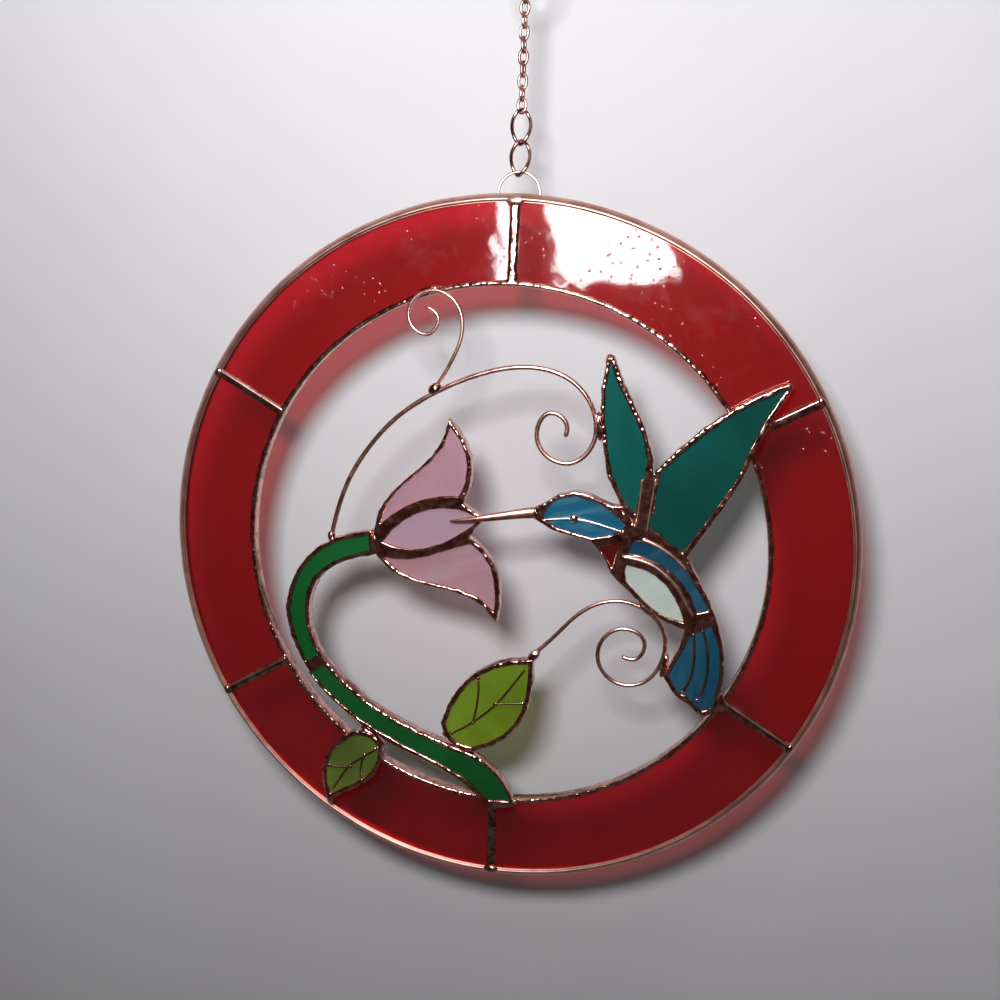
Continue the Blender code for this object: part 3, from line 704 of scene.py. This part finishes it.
for name, (radius, marks) in scrolls.items():
    bar(f"{name}_wire", flat_marks(marks), radius, wire_copper, [name])

# the beak: a flattened copper bar that leaves the head and comes forward over the tip of the middle petal
BEAK_FLAT = 0.6
beak_marks = [(12.4, 14.6, 0.9), (10.5, 14.4, 1.0), (3.5, 13.4, 2.2), (-4.6, 12.0, 3.35), (-15.8, 10.2, 3.2)]
beak_path = curve_through(beak_marks, 0.6)
beak_half = {-15.8: 0.22, -13.0: 0.55, -4.6: 1.1, 3.5: 1.45, 9.5: 1.75, 12.4: 1.9}  # half its width, by x
beak_wide = np.interp([p.x for p in beak_path], list(beak_half), list(beak_half.values()))
beak_line = [Vector((p.x, p.y, p.z / BEAK_FLAT)) * MM for p in beak_path]
verts, faces = tube_mesh(beak_line, [float(w) * MM for w in beak_wide], 22)
verts = [at(v.x / MM, v.y / MM, v.z * BEAK_FLAT / MM) for v in verts]
piece("beak_bar", verts, faces, beak_copper, ["beak"])

# thin wires on the glass: the leaves' veins, the wires between the tail feathers and the one on the head
VEIN, FEATHER_WIRE, HEAD_WIRE = 0.34, 0.42, 0.40
VEIN_OUT, HEAD_OUT = GLASS_HALF + 0.25, GLASS_HALF + 0.3
veins = {
    "leaf_large_veins": [
        [(10.1, -38.6), (6.0, -44.5), (1.5, -50.6), (-4.0, -56.0), (-9.0, -60.0), (-14.2, -63.2)],
        [(-5.4, -43.6), (-5.2, -47.0), (-5.7, -52.5), (-6.9, -58.6)],
        [(9.7, -50.1), (6.0, -50.5), (0.7, -51.3)],
    ],
    "leaf_small_veins": [
        [(-40.7, -72.1), (-45.0, -75.0), (-50.0, -79.0), (-54.3, -85.0), (-56.2, -88.2)],
        [(-57.4, -79.8), (-54.0, -79.9), (-49.8, -79.4)],
        [(-44.9, -74.6), (-46.2, -80.0), (-45.8, -83.4)],
    ],
    "tail_feather_wire_1": [[(64.3, -21.2), (65.0, -27.0), (64.8, -32.6), (63.6, -37.2), (61.9, -40.6)]],
    "tail_feather_wire_2": [[(67.2, -19.6), (69.0, -26.0), (69.4, -32.0), (68.6, -38.0), (66.6, -42.8)]],
}
for name, lines in veins.items():
    radius = FEATHER_WIRE if "tail" in name else VEIN
    for i, marks in enumerate(lines, 1):
        replaced = [name] if i == 1 else ()
        line = flat_marks(marks, VEIN_OUT)
        bar(f"{name}_bar_{i}", line, radius, dark_wire, replaced, 0.5, 10)
head_marks = [(15.0, 12.6), (20.0, 13.3), (24.6, 13.6), (30.0, 13.0), (35.0, 11.8), (40.2, 10.5)]
line = flat_marks(head_marks, HEAD_OUT)
bar("head_line", line, HEAD_WIRE, bright_metal, ["head_wire_and_eye"], 0.5, 12)


# raised lines of solder along the bird's seams, and on the upper edge of the ring's seams that run sideways
# all of these are in the paler patina, whose paleness is a painted highlight along their crests
SEAM_RIDGE_UP = 0.75
seam_ridge_r = [BEAD_OUT_R - 0.6, (BEAD_OUT_R + RIM_R) / 2, RIM_R - 2.6]
for number, angle in enumerate(SEAM_AT, 1):
    c, s = math.cos(math.radians(angle)), math.sin(math.radians(angle))
    if abs(c) > 0.5:
        side = math.copysign(SEAM_RIDGE_UP, c)
        marks = [(r * c - side * s, r * s + side * c, BEAD_HALF - 0.28) for r in seam_ridge_r]
        name = f"solder_seam_ridge_{number}"
        bar(name, marks, 0.4, painted_highlight_patina, (), 0.5, 12, "ring", 0.2)

RIDGE = SOLDER_HALF + 0.05
LOW_RIDGE = RIDGE - 0.12
ridges = {
    "belly": (0.62, RIDGE, [
        (41.3, 2.5), (45.8, 1.9), (50.7, 0.3), (55.0, -2.7), (58.7, -6.3), (61.1, -10.1), (63.6, -14.5),
    ]),
    "back": (0.55, RIDGE, [(47.1, 8.5), (50.3, 7.5), (54.6, 5.2), (57.9, 2.8), (60.5, 0.1)]),
    "wing_foot_left": (0.30, LOW_RIDGE, [(45.6, 27.5), (45.2, 20.4), (44.3, 12.6)]),
    "wing_foot_right": (0.30, LOW_RIDGE, [(49.8, 27.8), (48.9, 20.7), (47.9, 11.4)]),
}
for name, (radius, out, marks) in ridges.items():
    line = flat_marks(marks, out)
    bar(f"solder_ridge_{name}", line, radius, painted_highlight_patina, (), 0.5, 12, uneven=0.16)


# ------------------------------------------------------------------ drops of solder
def drop(name, x, z, out, size, turn=0.0, mat=patina, home="motif", seed=1, rough=0.10):
    """A lumpy drop of solder. size is its half width, half height and half depth."""
    rings, sides = 14, 24
    ball, faces = [], []
    for i in range(rings + 1):
        lat = math.pi * i / rings
        for k in range(sides):
            lon = 2 * math.pi * k / sides
            ball.append((math.sin(lat) * math.cos(lon), math.sin(lat) * math.sin(lon), math.cos(lat)))
    for i in range(rings):
        for k in range(sides):
            m = (k + 1) % sides
            faces.append((i * sides + k, i * sides + m, (i + 1) * sides + m, (i + 1) * sides + k))
    c, s = math.cos(math.radians(turn)), math.sin(math.radians(turn))
    verts = []
    for p in ball:
        swell = 1 + rough * float(lumps(p[0] * 2.1 + 0.7 * p[2], p[1] * 2.1 - 0.6 * p[2], 0.9, seed))
        u, v, w = (p[i] * size[i] * swell for i in range(3))
        verts.append(at(x + u * c - v * s, z + u * s + v * c, out + w, home))
    made = piece(name, verts, faces, mat, ())
    work = bmesh.new()
    work.from_mesh(made.data)
    bmesh.ops.remove_doubles(work, verts=work.verts, dist=1e-6)
    work.to_mesh(made.data)
    work.free()
    return made


drop("eye_drop", 24.6, 13.9, GLASS_HALF + 0.9, (1.35, 1.35, 1.0), mat=bright_metal, rough=0.03)
joints = [  # name, x, z, out, half sizes and turn
    ("scroll_at_stem", -57.5, 1.3, 0.1, (1.3, 2.3, 1.2), 8),
    ("scroll_at_wing", 31.2, 43.6, 0.1, (1.15, 4.8, 1.4), 6),
    ("scroll_branch", -22.6, 52.8, 0.2, (2.5, 1.7, 1.4), 32),
    ("scroll_at_ring", -24.8, 84.4, -1.8, (3.6, 1.2, 1.8), 6),
    ("lower_scroll_at_leaf", 12.9, -33.6, 0.3, (2.6, 1.6, 1.5), 50),
    ("lower_scroll_at_tail", 55.6, -33.0, 0.1, (1.2, 4.2, 1.4), -12),
    ("lower_scroll_at_belly", 48.8, -14.4, 0.1, (3.0, 1.5, 1.5), -40),
    ("wings_meet", 43.4, 12.6, 0.7, (1.5, 1.9, 1.7), 0),
    ("left_wing_foot", 41.2, 15.6, 0.9, (3.6, 1.15, 2.0), -42),
    ("belly_top", 41.2, 2.6, 1.0, (1.7, 1.1, 1.6), -12),
    ("left_wing_tip", 33.4, 64.3, 0.2, (1.35, 2.0, 1.4), -6),
    ("between_wings", 47.6, 27.0, 0.3, (2.0, 0.9, 1.7), 2),
    ("right_wing_tip", 82.2, 55.5, 0.3, (5.0, 0.9, 1.4), 25),
    ("ring_top", 1.7, 112.6, 2.3, (2.9, 1.5, 0.8), 0),
    ("tail_at_ring", 74.2, -44.5, -2.9, (1.7, 3.6, 1.4), 15),
    ("stem_foot", 3.0, -87.2, -0.5, (5.4, 1.4, 2.0), 2),
    ("small_leaf_at_stem", -42.4, -67.8, 0.2, (5.2, 1.5, 1.6), -38),
    ("large_leaf_at_stem", -12.2, -66.8, 0.2, (6.2, 1.3, 1.6), -28),
    ("small_leaf_tip", -58.0, -93.2, -1.6, (1.4, 2.3, 2.2), -10),
    ("wing_at_seam", 82.0, 45.6, -2.0, (2.4, 1.4, 2.0), 30),
    ("flower_neck", -41.9, 0.8, 0.5, (1.4, 4.3, 1.9), 4),
    ("head_at_beak", 12.2, 14.5, 0.5, (1.3, 2.3, 1.9), 0),
]
for seed, (name, x, z, out, size, turn) in enumerate(joints, 20):
    # the drop on the ring's top is in the paler patina, a painted highlight
    mat, home = (painted_highlight_patina, "ring") if name == "ring_top" else (patina, "motif")
    drop(f"solder_{name}", x, z, out, size, turn, mat, home, seed)

# the seams end in small drops on the came, the lowest one in a longer drop and the top one in a paler one
SEAM_END_R, SEAM_END_OUT = RIM_R - 2.1, 2.2
for number, angle in enumerate(SEAM_AT, 1):
    x, z = SEAM_END_R * math.cos(math.radians(angle)), SEAM_END_R * math.sin(math.radians(angle))
    size = (1.3, 2.6, 0.95) if number == 4 else (1.2, 1.75, 0.8)
    # the top drop's paler patina is a painted highlight
    mat = painted_highlight_patina if number == 1 else patina
    for side, face in (("front", 1), ("back", -1)):
        name, seed = f"solder_seam_end_{number}_{side}", 200 + 2 * number + (face > 0)
        drop(name, x, z, face * SEAM_END_OUT, size, angle, mat, "ring", seed)

# the thin wires end in drops, on the edges of their panes and on each other: x, z and half width
vein_ends = [
    (-5.4, -42.8, 0.62), (-6.9, -58.6, 0.62), (9.9, -50.0, 0.6), (0.7, -51.3, 0.72), (-57.6, -79.8, 0.62),
    (-49.8, -79.4, 0.62), (-44.9, -74.6, 0.66), (-45.8, -83.8, 0.62), (62.0, -40.6, 0.6), (66.6, -42.8, 0.6),
    (-41.0, -71.8, 0.7), (40.3, 10.6, 0.8), (15.2, 12.6, 0.55), (-14.0, -63.0, 0.6),
]
for number, (x, z, r) in enumerate(vein_ends, 1):
    drop(f"vein_end_{number}", x, z, VEIN_OUT, (r, r, r * 0.8), seed=90 + number)


# ------------------------------------------------------------------ the hanging parts
def oval(node, half_long, half_wide, wire, mat, plan=0, twist=0, lean=0, steps=72, sides=14):
    """A link standing where its CAD node is: its width turned in plan by `plan` degrees, wrung by `twist`
    degrees from end to end, and leaning to the right by `lean` degrees."""
    lo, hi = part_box(node)
    middle = Vector((0.0, 0.0, (lo.z + hi.z) / 2))
    tilt = Matrix.Rotation(math.radians(lean), 3, "Y")
    path = []
    for i in range(steps):
        a = 2 * math.pi * i / steps
        x, z = half_wide * math.cos(a), half_long * math.sin(a)
        turn = math.radians(plan + twist * z / (2 * half_long))
        path.append(middle + tilt @ Vector((x * math.cos(turn), x * math.sin(turn), z)) * MM)
    verts, faces = tube_mesh(path, wire * MM, sides, closed=True)
    return piece(f"{node}_wire", verts, faces, mat, [node])


for number, lean in ((1, 6), (2, 2)):
    oval(f"long_link_{number}", 5.26, 2.96, 0.6, link_copper, twist=84, lean=lean)
for number in range(1, 11):
    half_wide, plan = (1.35, -12) if number % 2 else (1.16, 78)
    oval(f"fine_link_{number:02d}", 2.22, half_wide, 0.5, chain_copper, plan, steps=36, sides=10)
oval("hanging_ring", 5.6, 5.6, 0.6, chain_copper)

# the loop: a half circle of bright wire above the rim, on two legs that go down behind the came
LOOP_R, LOOP_WIRE = 6.75, 0.45
leg = [Vector((LOOP_R, 0, -4.2)), Vector((LOOP_R, 0, -2.1))]
arch = [Vector((LOOP_R * math.cos(a), 0, LOOP_R * math.sin(a))) for a in np.linspace(0, math.pi, 40)]
loop_path = leg + arch + [Vector((-p.x, 0, p.z)) for p in reversed(leg)]
top = Vector((0, 0, RING_Z + RIM_R))
verts, faces = tube_mesh([(p + top) * MM for p in loop_path], LOOP_WIRE * MM, 14)
piece("top_loop_wire", verts, faces, bright_metal, ["top_loop"])
for side, x, seed in (("left", -LOOP_R, 311), ("right", LOOP_R, 310)):
    place = (x - RING_X, RIM_R - 1.9, -RIM_HALF - 0.2)
    drop(f"loop_foot_{side}", *place, (1.1, 1.1, 0.7), home="ring", seed=seed)

# ------------------------------------------------------------------ wall, floor, light and camera
WALL_BEHIND = 30.0  # from the middle of the red glass
FLOOR_Z = -1.25


def stage_plane(name, corners, mat):
    """A flat piece of the studio, which is no part of the object."""
    mesh = bpy.data.meshes.new(name)
    mesh.from_pydata(corners, [], [(0, 1, 2, 3)])
    made = bpy.data.objects.new(name, mesh)
    bpy.context.scene.collection.objects.link(made)
    mesh.materials.append(mat)
    return made


wall_y = (RING_Y + WALL_BEHIND) * MM
wall_look = Look("wall paint", base_color=(0.83, 0.815, 0.84), roughness=0.85, specular_ior_level=0.2)
soft = wall_look.noise(wall_look.place(), 9, 3, 0.5, 0.6)
wall_look.colour(wall_look.ramp(soft, [(0.35, (0.815, 0.800, 0.825)), (0.70, (0.850, 0.838, 0.860))]))
wall_look.bump(wall_look.noise(wall_look.place(), 240, 3, 0.5), 0.10, 0.15)
# the wall is only there from the front, so that the back of the panel can be looked at
side_of, open_back = wall_look.new("ShaderNodeNewGeometry"), wall_look.new("ShaderNodeBsdfTransparent")
choose = wall_look.new("ShaderNodeMixShader")
wall_look.link(side_of.outputs["Backfacing"], choose.inputs["Fac"])
wall_look.link(wall_look.shader.outputs["BSDF"], choose.inputs[1])
wall_look.link(open_back.outputs["BSDF"], choose.inputs[2])
wall_look.link(choose.outputs["Shader"], wall_look.tree.nodes["Material Output"].inputs["Surface"])
wall_corners = [(-1.6, FLOOR_Z), (1.6, FLOOR_Z), (1.6, 1.2), (-1.6, 1.2)]
stage_plane("wall", [(x, wall_y, z) for x, z in wall_corners], wall_look.mat)
floor_look = Look("floor", base_color=(0.70, 0.69, 0.70), roughness=0.8)
floor_corners = [(-2.5, -2.5), (2.5, -2.5), (2.5, 2.5), (-2.5, 2.5)]
stage_plane("floor", [(x, y, FLOOR_Z) for x, y in floor_corners], floor_look.mat)


def lamp(name, place_mm, aim_mm, size_mm, power, colour=(1, 1, 1), shape="DISK"):
    """An area lamp placed and aimed in millimetres from the middle of the ring."""
    data = bpy.data.lights.new(name, "AREA")
    data.shape = shape
    data.size = size_mm[0] * MM
    data.size_y = size_mm[1] * MM
    data.energy = power
    data.color = colour
    made = bpy.data.objects.new(name, data)
    bpy.context.scene.collection.objects.link(made)
    middle = Vector((RING_X, RING_Y, RING_Z))
    made.location = (middle + Vector(place_mm)) * MM
    made.visible_transmission = False  # the glass passes lamp light by its shadow colour, so not twice
    made.rotation_euler = (Vector(aim_mm) - Vector(place_mm)).to_track_quat("-Z", "Y").to_euler()
    return made


lamp("key", (4, -440, 242), (-22, 0, 400), (150, 150), 2.62, (0.985, 0.985, 1.0))
lamp("soft_top", (100, -420, 900), (0, 0, 0), (900, 500), 1.0, (1.0, 0.97, 0.96), "RECTANGLE")
lamp("soft_back", (300, 900, 500), (0, 0, 0), (900, 900), 2.0, (1.0, 0.99, 0.98), "SQUARE")
# two lit cards seen only as reflections: the glare on the upper panes and the sparkle on the solder
CARD_POWER = 0.48 / 5500  # per square millimetre
for name, x, z, size, turn in (("card", -2.5, 128, (62, 84), 9), ("card_strip", -56, 122, (8.5, 80), 3)):
    power = CARD_POWER * size[0] * size[1]
    card = lamp(name, (x, -250, z), (x, 0, z), size, power, (1.0, 0.97, 0.98), "RECTANGLE")
    card.rotation_euler.rotate_axis("Z", math.radians(turn))
    card.visible_diffuse = False

world = bpy.data.worlds.new("studio")
world.use_nodes = True
sky_tree = world.node_tree
sky_tree.nodes.remove(sky_tree.nodes["Background"])
ray = sky_tree.nodes.new("ShaderNodeLightPath")


def sky(colour):
    made = sky_tree.nodes.new("ShaderNodeBackground")
    made.inputs["Color"].default_value = (*colour, 1)
    return made.outputs["Background"]


def by_ray(kind, yes, no):
    """One sky for rays of a kind and another for the rest."""
    made = sky_tree.nodes.new("ShaderNodeMixShader")
    for source, target in ((ray.outputs[kind], 0), (no, 1), (yes, 2)):
        sky_tree.links.new(source, made.inputs[target])
    return made.outputs["Shader"]


# a dim room for the light that falls on things, a warm one for the metal to reflect, and a pale one behind
dim, warm, pale = sky((0.040, 0.037, 0.036)), sky((0.040, 0.018, 0.013)), sky((0.55, 0.55, 0.57))
seen_sky = by_ray("Is Diffuse Ray", dim, by_ray("Is Glossy Ray", warm, pale))
sky_tree.links.new(seen_sky, sky_tree.nodes["World Output"].inputs["Surface"])
bpy.context.scene.world = world
bpy.context.scene.view_settings.view_transform = "Standard"

camera = bpy.data.objects.new("camera", bpy.data.cameras.new("camera"))
camera.data.lens = 43.2
camera.data.clip_start = 0.01  # the panel is close
bpy.context.scene.collection.objects.link(camera)
# it looks from the right and a little from above, and is rolled by less than two degrees
right, up = Vector((0.97724, 0.21013, 0.0290)), Vector((-0.06741, 0.17799, 0.98172))
ahead = Vector((-0.20113, 0.96133, -0.18811))
turned_to = Matrix((right, up, -ahead)).transposed()
camera.matrix_world = Matrix.Translation((0.0768, -0.38275, -0.0945)) @ turned_to.to_4x4()
bpy.context.scene.camera = camera
